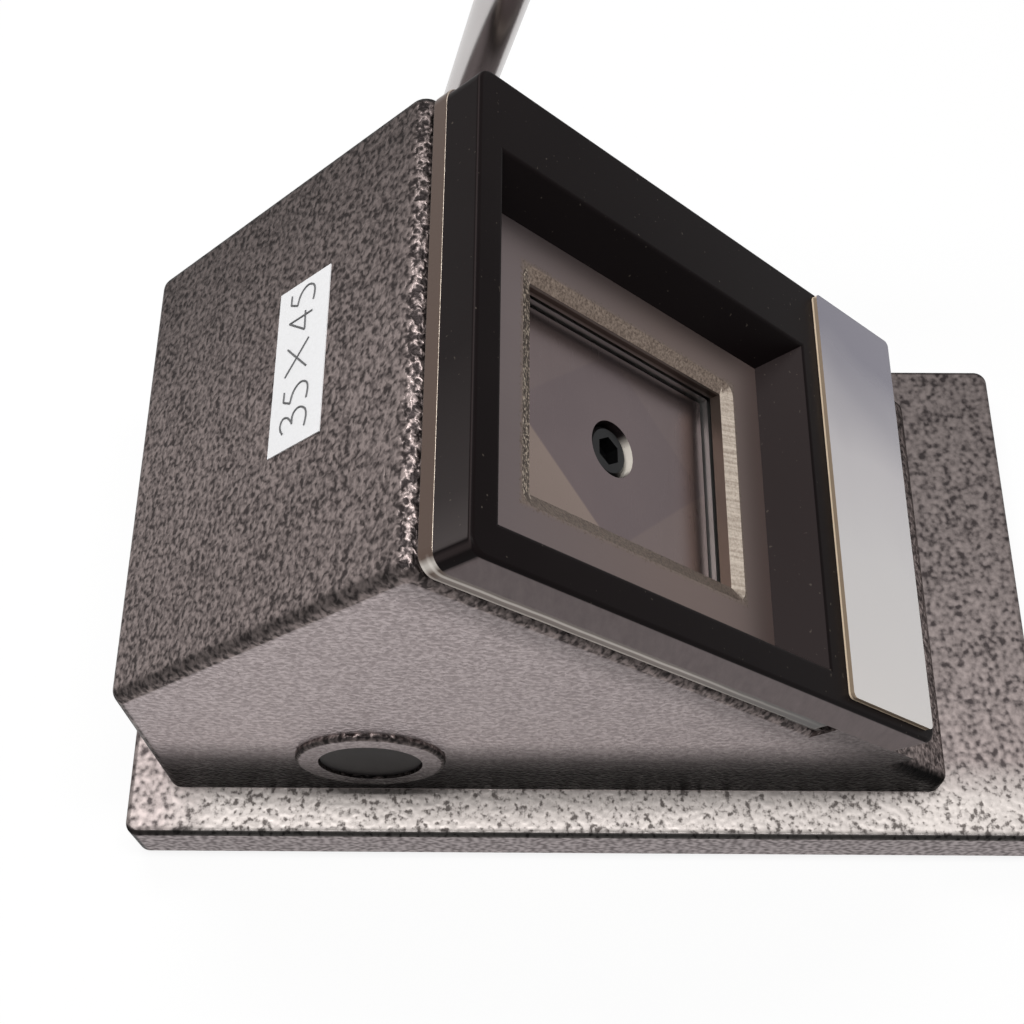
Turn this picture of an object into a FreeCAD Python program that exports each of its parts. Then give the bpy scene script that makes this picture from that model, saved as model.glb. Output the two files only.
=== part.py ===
import FreeCAD, Part
import math
import os
import re
from FreeCAD import Placement, Rotation, Vector
import Sketcher

# Bench card cutter with a side lever. Millimetres and degrees.
# X runs to the lever side, Y to the rear, Z up. The origin is the centre of the
# underside of the rubber pad, which the machine rests on.
# The deck is the sloping front panel: its own frame has X across, Y up the slope,
# Z out of the panel, and its origin on the panel at the centre of the die opening.

SIZES = {
    # Base and pad
    "base_width": 98,
    "base_length": 167,
    "base_thickness": 11.5,
    "base_corner": 2.5,
    "base_edge_round": 1,
    "pad_thickness": 1.5,
    "pad_inset": 4,
    "pad_corner": 3,
    # Housing
    "panel_tilt": 45,
    "panel_length": 129,
    "body_width": 79.8,
    "body_centre": -0.4,
    "body_front": 64.2,
    "body_length": 140.4,
    "front_height": 4.4,
    "rear_height": 46,
    "wall": 4,
    "toe_length": 12,
    "apex_round": 3,
    "edge_round": 2.5,
    "land_start": 89.5,
    "land_length": 22,
    "post_radius": 6,
    "post_height": 16,
    "post_inset": 4,
    "post_front": 24,
    "post_rear": 14,
    # Card slot, die plate, guide plate
    "card_width": 35,
    "card_length": 45,
    "die_centre": -5.57,
    "die_setback": 41.6,
    "slot_gap": 1,
    "die_far_inset": 1.2,
    "die_start": 0.8,
    "die_length": 88.2,
    "die_thickness": 3,
    "die_corner": 3,
    "die_edge_round": 0.3,
    "die_chamfer": 2.3,
    "die_chamfer_depth": 0.96,
    "shim_length": 9,
    "shim_inset": 0.5,
    "guide_half_width": 27,
    "guide_end_wall": 2.5,
    "guide_thickness": 8,
    "guide_play": 0.1,
    "ledge_inner": 20,
    "ledge_thickness": 6,
    # Window frame and nameplate
    "bezel_near_overhang": 0.2,
    "bezel_far_inset": 2,
    "bezel_start": 0.8,
    "bezel_length": 106.1,
    "bezel_thickness": 7,
    "bezel_corner": 2.8,
    "bezel_edge_round": 0.7,
    "rim_near": 5.5,
    "rim_far": 13.2,
    "rim_rear": 4.9,
    "window_length": 72.2,
    "draft_near": 2,
    "draft_far": 3.8,
    "draft_rear": 2,
    "draft_front": 4.7,
    "plate_start": 82.1,
    "plate_length": 22.7,
    "plate_near_inset": 1.9,
    "plate_far_inset": 0.9,
    "plate_thickness": 0.7,
    "plate_corner": 1,
    "adhesive_thickness": 0.3,
    # Size label on the back slope
    "label_width": 29,
    "label_height": 12.3,
    "label_centre": 2.9,
    "label_start": 20.3,
    "label_thickness": 0.2,
    # Punch, holder and guides
    "punch_play": 0.1,
    "punch_guide_play": 0.35,
    "punch_recess": 1.2,
    "punch_height": 22,
    "holder_half_width": 17.5,
    "holder_end_wall": 0.5,
    "holder_thickness": 10,
    "spring_clearance": 1.1,
    "guide_post_radius": 4,
    "guide_post_seat": 6,
    "guide_post_reach": 46,
    "post_play": 0.02,
    "bush_wall": 2,
    "bush_length": 12,
    "spring_wire": 1.4,
    "spring_play": 0.5,
    "dowel_radius": 2,
    "dowel_length": 14,
    "dowel_spacing_x": 24,
    "dowel_spacing_y": 28,
    # Shaft, gearing and bearings
    "shaft_y": 37.9,
    "shaft_rise": 19,
    "shaft_radius": 5,
    "shaft_play": 0.03,
    "gear_module": 1.25,
    "gear_teeth": 16,
    "gear_width": 14,
    "gear_addendum_share": 0.9,
    "gear_backlash": 0.2,
    "pressure_angle": 20,
    "collar_width": 9,
    "collar_radius": 8,
    "roll_pin_radius": 1.5,
    "rack_teeth": 7,
    "rack_top_teeth": 2,
    "rack_back": 9.5,
    "rack_width": 14,
    "rack_screw_depth": 12,
    "boss_radius": 12.8,
    "boss_rise": 1.2,
    "boss_edge_round": 0.8,
    "inner_boss_radius": 11,
    "inner_boss_length": 8,
    "journal_wall": 2,
    "cap_radius": 8.9,
    "cap_thickness": 2,
    "cap_recess": 2.5,
    "ring_thickness": 1,
    "ring_radius": 7.5,
    "groove_depth": 0.6,
    "side_play": 0.1,
    # Lever
    "washer_thickness": 2.9,
    "lever_lean": 15.2,
    "hub_radius": 11.5,
    "hub_width": 16,
    "hub_edge": 1,
    "rod_root_radius": 3.1,
    "rod_tip_radius": 4.7,
    "rod_seat_height": 6.5,
    "rod_length": 146,
    "rod_neck_radius": 3,
    "rod_neck_length": 8,
    "knob_radius": 13,
    "knob_flat": 4,
    # Screws
    "base_screw_radius": 2.5,
    "base_screw_length": 18,
    "small_screw_radius": 2,
    "rim_screw_radius": 1.5,
    "punch_screw_radius": 2.5,
    "punch_head_radius": 4.25,
    "punch_head_height": 5,
    "punch_head_bevel": 0.6,
    "punch_bore_radius": 4.7,
    "punch_screw_sink": 0.8,
    "head_play": 0.5,
    "thread_play": 0.05,
    "cap_screw_radius_share": 1.7,
    "cap_screw_height_share": 1,
    "socket_share": 0.5,
    "flat_head_share": 2,
    "set_screw_radius": 2.5,
    "pin_radius": 1.25,
    # One overrun for every cut
    "over": 1,
}

# Values worked out from the sizes above, in the sheet itself.
WORKED_OUT = {
    "base_top": "pad_thickness + base_thickness",
    "body_left": "body_centre - body_width / 2",
    "body_right": "body_centre + body_width / 2",
    "inner_left": "body_left + wall",
    "inner_right": "body_right - wall",
    "body_rear": "body_length - body_front",
    "apex_y": "panel_length * cos(panel_tilt) - body_front",
    "apex_rise": "front_height + panel_length * sin(panel_tilt)",
    "back_run": "body_rear - apex_y",
    "back_tilt": "atan((apex_rise - rear_height) / back_run)",
    "panel_drop": "wall / cos(panel_tilt)",
    "back_drop": "wall / cos(back_tilt)",
    "inner_front_y": "toe_length - body_front",
    "inner_front_rise": "front_height + toe_length * tan(panel_tilt) - panel_drop",
    "inner_rear_y": "body_rear - wall",
    "inner_rear_rise": "rear_height + wall * tan(back_tilt) - back_drop",
    "inner_apex_y": "(inner_rear_rise + inner_rear_y * tan(back_tilt) - inner_front_rise"
                    " + inner_front_y * tan(panel_tilt)) / (tan(panel_tilt) + tan(back_tilt))",
    "inner_apex_rise": "inner_front_rise + (inner_apex_y - inner_front_y) * tan(panel_tilt)",
    "die_y": "apex_y - die_setback * cos(panel_tilt)",
    "die_z": "base_top + apex_rise - die_setback * sin(panel_tilt)",
    "stack": "slot_gap + die_thickness",
    "bezel_top": "stack + bezel_thickness",
    "deck_left": "body_left - die_centre",
    "deck_right": "body_right - die_centre - die_far_inset",
    "bezel_left": "deck_left - bezel_near_overhang",
    "bezel_width": "body_width + bezel_near_overhang - bezel_far_inset",
    "bezel_front": "die_setback - bezel_start - bezel_length",
    "window_width": "bezel_width - rim_near - rim_far",
    "window_left": "bezel_left + rim_near",
    "window_rear": "die_setback - bezel_start - rim_rear",
    "window_front": "window_rear - window_length",
    "shaft_z": "base_top + shaft_rise",
    "shaft_deck_y": "(shaft_y - die_y) * cos(panel_tilt) + (shaft_z - die_z) * sin(panel_tilt)",
    "shaft_deck_z": "(shaft_z - die_z) * cos(panel_tilt) - (shaft_y - die_y) * sin(panel_tilt)",
    "pitch_radius": "gear_module * gear_teeth / 2",
    "tooth_pitch": "gear_module * pi",
    "holder_top": "0 - punch_recess - punch_height",
    "holder_bottom": "holder_top - holder_thickness",
    "guide_bush_radius": "guide_post_radius + bush_wall",
    "spring_inner": "guide_post_radius + spring_play",
    "journal_radius": "shaft_radius + journal_wall",
    "boss_left": "body_left - boss_rise",
    "boss_right": "body_right + boss_rise",
    "bush_left": "boss_left + cap_recess",
    "bush_left_end": "inner_left + inner_boss_length",
    "bush_right_end": "inner_right - inner_boss_length",
    "hub_left": "boss_right + washer_thickness + 2 * side_play",
    "lever_plane": "hub_left + hub_width / 2",
    "shaft_left": "bush_left + side_play",
    "shaft_right": "lever_plane + hub_width / 2",
    "rack_pitch_y": "shaft_deck_y + pitch_radius",
    "addendum": "gear_module * gear_addendum_share",
    "dedendum": "gear_module * 1.25",
    "rack_bottom": "shaft_deck_z - (rack_teeth - rack_top_teeth - 0.5) * tooth_pitch",
    "post_place": "card_length / 2 + spring_clearance + spring_wire + spring_inner",
    "guide_half_length": "post_place + guide_post_radius + guide_end_wall",
    "holder_half_length": "post_place + guide_bush_radius + holder_end_wall",
    "dowel_x": "dowel_spacing_x / 2",
    "dowel_y": "dowel_spacing_y / 2",
    "post_left": "inner_left + post_inset",
    "post_right": "inner_right - post_inset",
    "post_front_y": "post_front - body_front",
    "post_rear_y": "body_rear - post_rear",
    "bezel_screw_y": "die_setback - land_start - land_length / 3",
    "bezel_screw_x": "deck_left + bezel_width / 8",
    "die_screw_y": "die_setback - die_start - die_length + shim_length / 2",
    "rim_screw_x": "bezel_left + bezel_width - rim_far / 2 + draft_near / 2",
    "rim_pin_x": "bezel_left + rim_near / 2",
    "guide_screw_x": "(guide_half_width + ledge_inner) / 2",
    "rack_screw_y": "rack_pitch_y + dedendum + rack_back / 2",
}

doc = FreeCAD.newDocument("card_cutter")
sheet = doc.addObject("Spreadsheet::Sheet", "dims")
for row, (alias, value) in enumerate(list(SIZES.items()) + list(WORKED_OUT.items()), 1):
    sheet.set(f"A{row}", alias)
    sheet.set(f"B{row}", f"={value}" if alias in WORKED_OUT else str(value))
    sheet.setAlias(f"B{row}", alias)
doc.recompute()

ALIASES = set(SIZES) | set(WORKED_OUT)
TOUCHING = 1e-4
X_AXIS = Vector(1, 0, 0)
Y_AXIS = Vector(0, 1, 0)
ALONG_X = Rotation(Y_AXIS, 90)
ALONG_Y = Rotation(X_AXIS, -90)
FLIPPED = Rotation(X_AXIS, 180)
parts = []


def size(name):
    return float(sheet.get(name))


def ref(expression):
    """Write an expression over the sheet's names as one that objects can hold."""
    return re.sub(r"[a-z_]+", lambda word: "dims." + word[0] if word[0] in ALIASES else word[0],
                  expression)


def bind(thing, **expressions):
    for name, expression in expressions.items():
        thing.setExpression(name, ref(expression))
    return thing


def put(thing, at, turn=None):
    """Bind a place, after an optional fixed turn about the thing's own origin."""
    if turn:
        thing.Placement = Placement(Vector(), turn)
    for axis, expression in zip("xyz", at):
        thing.setExpression("Placement.Base." + axis, ref(expression))
    return thing


def tilt(thing, angle):
    """Bind a turn about X."""
    thing.Placement = Placement(Vector(), Rotation(X_AXIS, 1))
    thing.setExpression("Placement.Rotation.Angle", ref(angle))
    return thing


def on_deck(thing):
    return put(tilt(thing, "panel_tilt"), ("die_centre", "die_y", "die_z"))


def at_shaft(thing):
    return put(tilt(thing, "lever_lean"), ("0", "shaft_y", "shaft_z"))


def deck_point(x, y, z):
    """A place given in the deck's frame, as expressions in the machine's frame."""
    return (f"die_centre + ({x})",
            f"die_y + ({y}) * cos(panel_tilt) - ({z}) * sin(panel_tilt)",
            f"die_z + ({y}) * sin(panel_tilt) + ({z}) * cos(panel_tilt)")


def new_body(name):
    body = doc.addObject("PartDesign::Body", name)
    body.Label = name
    parts.append(body)
    return body


def feature(body, kind, at, turn=None, **sizes):
    """Add one primitive feature to a body, such as AdditiveBox, with bound sizes."""
    made = body.newObject("PartDesign::" + kind, body.Name + "_" + kind.lower())
    bind(made, **sizes)
    return put(made, at, turn)


def wedge(body, kind, low, high, near, far):
    """Add a straight-sided prism from one rectangle to another: at height low it spans
    near, at height high it spans far, each (x from, x to, y from, y to)."""
    made = body.newObject("PartDesign::" + kind, body.Name + "_" + kind.lower())
    made.Placement = Placement(Vector(), Rotation(X_AXIS, 90))
    bind(made, Xmin=near[0], Xmax=near[1], Zmin=f"0 - ({near[3]})", Zmax=f"0 - ({near[2]})",
         X2min=far[0], X2max=far[1], Z2min=f"0 - ({far[3]})", Z2max=f"0 - ({far[2]})",
         Ymin=low, Ymax=high)
    return made


def outline(body, points, offset):
    """Sketch a closed outline in the plane across X, offset along X."""
    plane = next(item for item in body.Origin.OriginFeatures if item.Role == "YZ_Plane")
    sketch = body.newObject("Sketcher::SketchObject", body.Name + "_outline")
    sketch.AttachmentSupport = (plane, [""])
    sketch.MapMode = "FlatFace"
    sketch.setExpression("AttachmentOffset.Base.z", ref(offset))
    corners = [Vector(*(sheet.evalExpression(ref(text)) for text in point)) for point in points]
    for index, corner in enumerate(corners):
        sketch.addGeometry(Part.LineSegment(corner, corners[(index + 1) % len(corners)]))
    for index in range(len(corners)):
        sketch.addConstraint(
            Sketcher.Constraint("Coincident", index, 2, (index + 1) % len(corners), 1))
    for index, point in enumerate(points):
        for kind, text, value in zip(("DistanceX", "DistanceY"), point, corners[index]):
            number = sketch.addConstraint(Sketcher.Constraint(kind, -1, 1, index, 1, value))
            sketch.setExpression(f"Constraints[{number}]", ref(text))
    return sketch


def edges_where(shape, wanted):
    return [f"Edge{index}" for index, edge in enumerate(shape.Edges, 1) if wanted(edge)]


def round_edges(body, radius, wanted):
    doc.recompute()
    tip = body.Tip
    fillet = body.newObject("PartDesign::Fillet", body.Name + "_round")
    fillet.Base = (tip, edges_where(tip.Shape, wanted))
    bind(fillet, Radius=radius)


def runs_along(edge, axis):
    if len(edge.Vertexes) < 2:
        return False
    run = edge.Vertexes[1].Point - edge.Vertexes[0].Point
    return abs(run.dot(axis)) > 0.999 * edge.Length


def upright(edge):
    return runs_along(edge, Vector(0, 0, 1))


def at_height(level):
    return lambda edge: (abs(edge.BoundBox.ZMin - size(level)) < TOUCHING
                         and edge.BoundBox.ZLength < TOUCHING)


def slab(body, x_from, x_to, y_from, y_to, z_from, z_to, kind="AdditiveBox"):
    return feature(body, kind, (x_from, y_from, z_from), Length=f"{x_to} - ({x_from})",
                   Width=f"{y_to} - ({y_from})", Height=f"{z_to} - ({z_from})")


def bore(body, at, radius, depth, turn=None):
    return feature(body, "SubtractiveCylinder", at, turn, Radius=radius, Height=depth)


def solid(kind, name, at=("0", "0", "0"), turn=None, **sizes):
    return put(bind(doc.addObject("Part::" + kind, name), **sizes), at, turn)


def fused(name, pieces):
    made = doc.addObject("Part::MultiFuse", name)
    made.Shapes = pieces
    return made


def cut(name, base, tool):
    made = doc.addObject("Part::Cut", name)
    made.Base = base
    made.Tool = tool
    return made


def group(name, pieces):
    made = doc.addObject("Part::Compound", name)
    made.Links = pieces
    made.Label = name
    parts.append(made)
    return made


def ring(name, outer, inner, length, at=("0", "0", "0"), turn=None):
    blank = solid("Cylinder", name + "_blank", Radius=outer, Height=length)
    hole = solid("Cylinder", name + "_hole", Radius=inner, Height=length)
    return put(cut(name, blank, hole), at, turn)


def cap_screw(name, radius, length, at, turn=None):
    """A socket screw: its head above z = 0 and its shank below."""
    head_height = f"{radius} * 2 * cap_screw_height_share"
    head = solid("Cylinder", name + "_head", Radius=f"{radius} * cap_screw_radius_share",
                 Height=head_height)
    shank = solid("Cylinder", name + "_shank", ("0", "0", f"0 - ({length})"),
                  Radius=radius, Height=length)
    socket = solid("Prism", name + "_socket", ("0", "0", f"{head_height} * socket_share"),
                   Circumradius=f"{radius} * cap_screw_radius_share * socket_share * 1.15",
                   Height=head_height)
    return put(cut(name, fused(name + "_blank", [head, shank]), socket), at, turn)


def flat_screw(name, radius, length, at, turn=None):
    """A countersunk screw: its flat top at z = 0 and its shank below."""
    head = solid("Cone", name + "_head", ("0", "0", f"0 - {radius} * (flat_head_share - 1)"),
                 Radius1=radius, Radius2=f"{radius} * flat_head_share",
                 Height=f"{radius} * (flat_head_share - 1)")
    shank = solid("Cylinder", name + "_shank", ("0", "0", f"0 - ({length})"),
                  Radius=radius, Height=length)
    socket = solid("Prism", name + "_socket", ("0", "0", f"0 - {radius} * socket_share"),
                   Circumradius=f"{radius} * socket_share * 1.3", Height=radius)
    return put(cut(name, fused(name + "_blank", [head, shank]), socket), at, turn)


def countersink(body, radius, at, turn=None):
    """A cone that a flat screw's head fits, with its wide end at the given place."""
    depth = f"{radius} * (flat_head_share - 1)"
    made = body.newObject("PartDesign::SubtractiveCone", body.Name + "_sink")
    bind(made, Radius1=f"{radius} * flat_head_share", Radius2=radius, Height=depth)
    return put(made, at, turn)


BASE_SCREWS = [(x, y) for x in ("post_left", "post_right") for y in ("post_front_y", "post_rear_y")]
GUIDE_SCREWS = [(f"{x} * guide_screw_x", f"{y} * post_place") for x in (-1, 1) for y in (-1, 1)]
DIE_SCREWS = ["deck_left + bezel_width / 8", "(deck_left + deck_right) / 2",
              "deck_right - bezel_width / 8"]
LAND_SCREWS = ["bezel_screw_x", "deck_right - bezel_width / 8"]
RIM_SCREWS = ["window_front + window_length / 5", "window_rear - window_length / 5"]
DOWELS = [(x, y) for x in ("0 - dowel_x", "dowel_x")
          for y in ("0 - dowel_y", "dowel_y")]


def make_base():
    pad = new_body("rubber_pad")
    slab(pad, "pad_inset - base_width / 2", "base_width / 2 - pad_inset",
         "pad_inset - base_length / 2", "base_length / 2 - pad_inset", "0", "pad_thickness")
    round_edges(pad, "pad_corner", upright)

    plate = new_body("base_plate")
    slab(plate, "0 - base_width / 2", "base_width / 2", "0 - base_length / 2",
         "base_length / 2", "pad_thickness", "base_top")
    round_edges(plate, "base_corner", upright)
    round_edges(plate, "base_edge_round", at_height("base_top"))
    head_depth = "base_screw_radius * 2 * cap_screw_height_share + head_play"
    for x, y in BASE_SCREWS:
        bore(plate, (x, y, "pad_thickness - over"), "base_screw_radius + thread_play",
             "base_thickness + 2 * over")
        bore(plate, (x, y, "pad_thickness - over"),
             "base_screw_radius * cap_screw_radius_share + head_play", f"{head_depth} + over")

    screws = [cap_screw(f"base_screw_{index}", "base_screw_radius", "base_screw_length",
                        (x, y, f"pad_thickness + {head_depth}"), FLIPPED)
              for index, (x, y) in enumerate(BASE_SCREWS)]
    group("base_screws", screws)


def make_housing():
    body = new_body("housing")
    rear, top, toe = "body_rear", "base_top + apex_rise", "0 - body_front"
    outer = outline(body, [(toe, "base_top"), (toe, "base_top + front_height"), ("apex_y", top),
                           (rear, "base_top + rear_height"), (rear, "base_top")], "body_left")
    pad = body.newObject("PartDesign::Pad", "housing_block")
    pad.Profile = outer
    bind(pad, Length="body_width")
    round_edges(body, "apex_round", lambda edge: runs_along(edge, X_AXIS)
                and edge.BoundBox.ZMin > size("base_top") + size("front_height") / 2)
    round_edges(body, "edge_round", lambda edge: edge.BoundBox.XLength < TOUCHING
                and edge.BoundBox.ZMax > size("base_top") + size("front_height") / 2)

    land = feature(body, "AdditiveBox", deck_point("deck_left", "die_setback - land_start"
                   " - land_length", "0 - edge_round"), Rotation(X_AXIS, 1), Length="body_width",
                   Width="land_length", Height="stack + edge_round")
    bind(land, **{"Placement.Rotation.Angle": "panel_tilt"})

    inner = outline(body, [("inner_front_y", "base_top"),
                           ("inner_front_y", "base_top + inner_front_rise"),
                           ("inner_apex_y", "base_top + inner_apex_rise"),
                           ("inner_rear_y", "base_top + inner_rear_rise"),
                           ("inner_rear_y", "base_top")], "inner_left")
    cavity = body.newObject("PartDesign::Pocket", "housing_cavity")
    cavity.Profile = inner
    cavity.Reversed = True
    bind(cavity, Length="body_width - 2 * wall")

    for x, y in BASE_SCREWS:
        feature(body, "AdditiveCylinder", (x, y, "base_top"), Radius="post_radius",
                Height="post_height")
    for start, end, radius in (("boss_left", "inner_left", "boss_radius"),
                               ("boss_left", "bush_left_end", "inner_boss_radius"),
                               ("inner_right", "boss_right", "boss_radius"),
                               ("bush_right_end", "boss_right", "inner_boss_radius")):
        feature(body, "AdditiveCylinder", (start, "shaft_y", "shaft_z"), ALONG_X,
                Radius=radius, Height=f"{end} - ({start})")
    round_edges(body, "boss_edge_round", lambda edge:
                min(abs(edge.BoundBox.XMax - size("boss_left")),
                    abs(edge.BoundBox.XMin - size("boss_right"))) < TOUCHING
                and edge.BoundBox.YLength > size("boss_radius") + size("inner_boss_radius"))
    for start, end in (("inner_left - die_centre - wall / 2", "0 - ledge_inner"),
                       ("ledge_inner", "inner_right - die_centre + wall / 2")):
        ledge = feature(body, "AdditiveBox",
                        deck_point(start, "0 - guide_half_length",
                                   "0 - guide_thickness - ledge_thickness"),
                        Rotation(X_AXIS, 1), Length=f"{end} - ({start})",
                        Width="2 * guide_half_length", Height="guide_thickness + ledge_thickness")
        bind(ledge, **{"Placement.Rotation.Angle": "panel_tilt"})
    window = feature(body, "SubtractiveBox",
                     deck_point("0 - guide_half_width - guide_play",
                                "0 - guide_half_length - guide_play", "0 - guide_thickness"),
                     Rotation(X_AXIS, 1), Length="2 * (guide_half_width + guide_play)",
                     Width="2 * (guide_half_length + guide_play)", Height="guide_thickness + over")
    bind(window, **{"Placement.Rotation.Angle": "panel_tilt"})

    for x, y in BASE_SCREWS:
        bore(body, (x, y, "base_top - over"), "base_screw_radius + thread_play",
             "post_height - over")
    bore(body, ("boss_left - over", "shaft_y", "shaft_z"), "journal_radius",
         "boss_right - boss_left + 2 * over", ALONG_X)
    bore(body, ("boss_left - over", "shaft_y", "shaft_z"), "cap_radius",
         "cap_recess + over", ALONG_X)
    for at, radius, depth in (
            [((x, y, "0 - guide_thickness - ledge_thickness - over"),
              "small_screw_radius", "ledge_thickness + 2 * over") for x, y in GUIDE_SCREWS]
            + [((x, "die_screw_y", "0 - wall - over"), "small_screw_radius", "wall + 2 * over")
               for x in DIE_SCREWS]
            + [((x, "bezel_screw_y", "0 - wall - over"), "small_screw_radius",
                "wall + stack + 2 * over") for x in LAND_SCREWS]):
        hole = bore(body, deck_point(*at), f"{radius} + thread_play", depth, Rotation(X_AXIS, 1))
        bind(hole, **{"Placement.Rotation.Angle": "panel_tilt"})


def make_guide_plate():
    plate = new_body("guide_plate")
    slab(plate, "0 - guide_half_width", "guide_half_width", "0 - guide_half_length",
         "guide_half_length", "0 - guide_thickness", "0")
    slab(plate, "0 - card_width / 2 - punch_guide_play", "card_width / 2 + punch_guide_play",
         "0 - card_length / 2 - punch_guide_play", "card_length / 2 + punch_guide_play",
         "0 - guide_thickness - over", "over", "SubtractiveBox")
    head_depth = "small_screw_radius * 2 * cap_screw_height_share + head_play"
    for x, y in GUIDE_SCREWS:
        bore(plate, (x, y, "0 - guide_thickness - over"), "small_screw_radius + thread_play",
             "guide_thickness + 2 * over")
        bore(plate, (x, y, f"0 - ({head_depth})"),
             "small_screw_radius * cap_screw_radius_share + head_play", f"{head_depth} + over")
    for y in ("0 - post_place", "post_place"):
        bore(plate, ("0", y, "0 - guide_thickness - over"), "guide_post_radius",
             "guide_post_seat + over")
    on_deck(plate)

    screws = [cap_screw(f"guide_screw_{index}", "small_screw_radius",
                        f"guide_thickness + ledge_thickness - ({head_depth}) - over",
                        (x, y, f"0 - ({head_depth})"))
              for index, (x, y) in enumerate(GUIDE_SCREWS)]
    on_deck(group("guide_plate_screws", screws))

    posts = [solid("Cylinder", f"guide_post_{index}", ("0", y, "0 - guide_post_reach"),
                   Radius="guide_post_radius",
                   Height="guide_post_reach - guide_thickness + guide_post_seat")
             for index, y in enumerate(("0 - post_place", "post_place"))]
    on_deck(group("guide_posts", posts))


def bevel_die(plate):
    """Bevel the opening's top edge, with corners that widen from a point to an arc."""
    half_x, half_y = "card_width / 2", "card_length / 2"
    low, high = "stack - die_chamfer_depth", "stack"
    edge = (f"0 - {half_x}", half_x, f"0 - {half_y}", half_y)
    wedge(plate, "SubtractiveWedge", low, high, edge,
          (f"0 - {half_x} - die_chamfer", f"{half_x} + die_chamfer", edge[2], edge[3]))
    wedge(plate, "SubtractiveWedge", low, high, edge,
          (edge[0], edge[1], f"0 - {half_y} - die_chamfer", f"{half_y} + die_chamfer"))
    for x in edge[:2]:
        for y in edge[2:]:
            feature(plate, "SubtractiveCone", (x, y, low), Radius1="0", Radius2="die_chamfer",
                    Height="die_chamfer_depth")


def make_die():
    front, rear = "die_setback - die_start - die_length", "die_setback - die_start"
    shim = new_body("slot_shim")
    slab(shim, "deck_left + shim_inset", "deck_right - shim_inset", front,
         f"{front} + shim_length", "0", "slot_gap")
    for x in DIE_SCREWS:
        bore(shim, (x, "die_screw_y", "0 - over"), "small_screw_radius + thread_play",
             "slot_gap + 2 * over")
    on_deck(shim)

    plate = new_body("die_plate")
    slab(plate, "deck_left", "deck_right", front, rear, "slot_gap", "stack")
    round_edges(plate, "die_corner", upright)
    round_edges(plate, "die_edge_round", lambda edge: edge.BoundBox.ZLength < TOUCHING)
    slab(plate, "0 - card_width / 2", "card_width / 2", "0 - card_length / 2",
         "card_length / 2", "slot_gap - over", "stack + over", "SubtractiveBox")
    bevel_die(plate)
    for x in DIE_SCREWS:
        bore(plate, (x, "die_screw_y", "slot_gap - over"), "small_screw_radius + thread_play",
             "die_thickness + 2 * over")
        countersink(plate, "small_screw_radius", (x, "die_screw_y", "stack"), FLIPPED)
    for y in RIM_SCREWS:
        bore(plate, ("rim_screw_x", y, "slot_gap - over"), "rim_screw_radius + thread_play",
             "die_thickness + 2 * over")
        countersink(plate, "rim_screw_radius", ("rim_screw_x", y, "slot_gap"))
        bore(plate, ("rim_pin_x", y, "slot_gap - over"), "pin_radius",
             "die_thickness + 2 * over")
    on_deck(plate)

    screws = [flat_screw(f"die_screw_{index}", "small_screw_radius", "stack + wall",
                         (x, "die_screw_y", "stack")) for index, x in enumerate(DIE_SCREWS)]
    on_deck(group("die_plate_screws", screws))


def make_bezel():
    frame = new_body("bezel")
    slab(frame, "bezel_left", "bezel_left + bezel_width", "bezel_front",
         "bezel_front + bezel_length", "stack", "bezel_top")
    round_edges(frame, "bezel_corner", upright)
    wedge(frame, "SubtractiveWedge", "stack", "bezel_top",
          ("window_left + draft_near", "window_left + window_width - draft_far",
           "window_front + draft_front", "window_rear - draft_rear"),
          ("window_left", "window_left + window_width", "window_front", "window_rear"))
    round_edges(frame, "bezel_edge_round", at_height("bezel_top"))
    for x in LAND_SCREWS:
        bore(frame, (x, "bezel_screw_y", "stack - over"), "small_screw_radius + thread_play",
             "bezel_thickness - over")
    for y in RIM_SCREWS:
        bore(frame, ("rim_screw_x", y, "stack - over"), "rim_screw_radius + thread_play",
             "bezel_thickness - over")
        bore(frame, ("rim_pin_x", y, "stack - over"), "pin_radius", "bezel_thickness - over")
    on_deck(frame)

    land = [cap_screw(f"land_screw_{index}", "small_screw_radius",
                      "wall + stack + bezel_thickness - 3 * over",
                      (x, "bezel_screw_y", "0 - wall"), FLIPPED)
            for index, x in enumerate(LAND_SCREWS)]
    rim = [flat_screw(f"rim_screw_{index}", "rim_screw_radius",
                      "die_thickness + bezel_thickness - 3 * over",
                      ("rim_screw_x", y, "slot_gap"), FLIPPED)
           for index, y in enumerate(RIM_SCREWS)]
    on_deck(group("bezel_screws", land + rim))

    pins = [solid("Cylinder", f"rim_pin_{index}", ("rim_pin_x", y, "slot_gap"),
                  Radius="pin_radius", Height="die_thickness + bezel_thickness - 3 * over")
            for index, y in enumerate(RIM_SCREWS)]
    on_deck(group("bezel_dowels", pins))


def make_nameplate():
    for name, low, high in (
            ("nameplate_adhesive", "bezel_top", "bezel_top + adhesive_thickness"),
            ("nameplate", "bezel_top + adhesive_thickness",
             "bezel_top + adhesive_thickness + plate_thickness")):
        plate = new_body(name)
        slab(plate, "bezel_left + plate_near_inset", "bezel_left + bezel_width - plate_far_inset",
             "die_setback - plate_start - plate_length", "die_setback - plate_start", low, high)
        round_edges(plate, "plate_corner", upright)
        on_deck(plate)


def make_label():
    label = new_body("size_label")
    slab(label, "label_centre - label_width / 2", "label_centre + label_width / 2",
         "label_start", "label_start + label_height", "0", "label_thickness")
    put(tilt(label, "-1 * back_tilt"), ("0", "apex_y", "base_top + apex_rise"))


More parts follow.
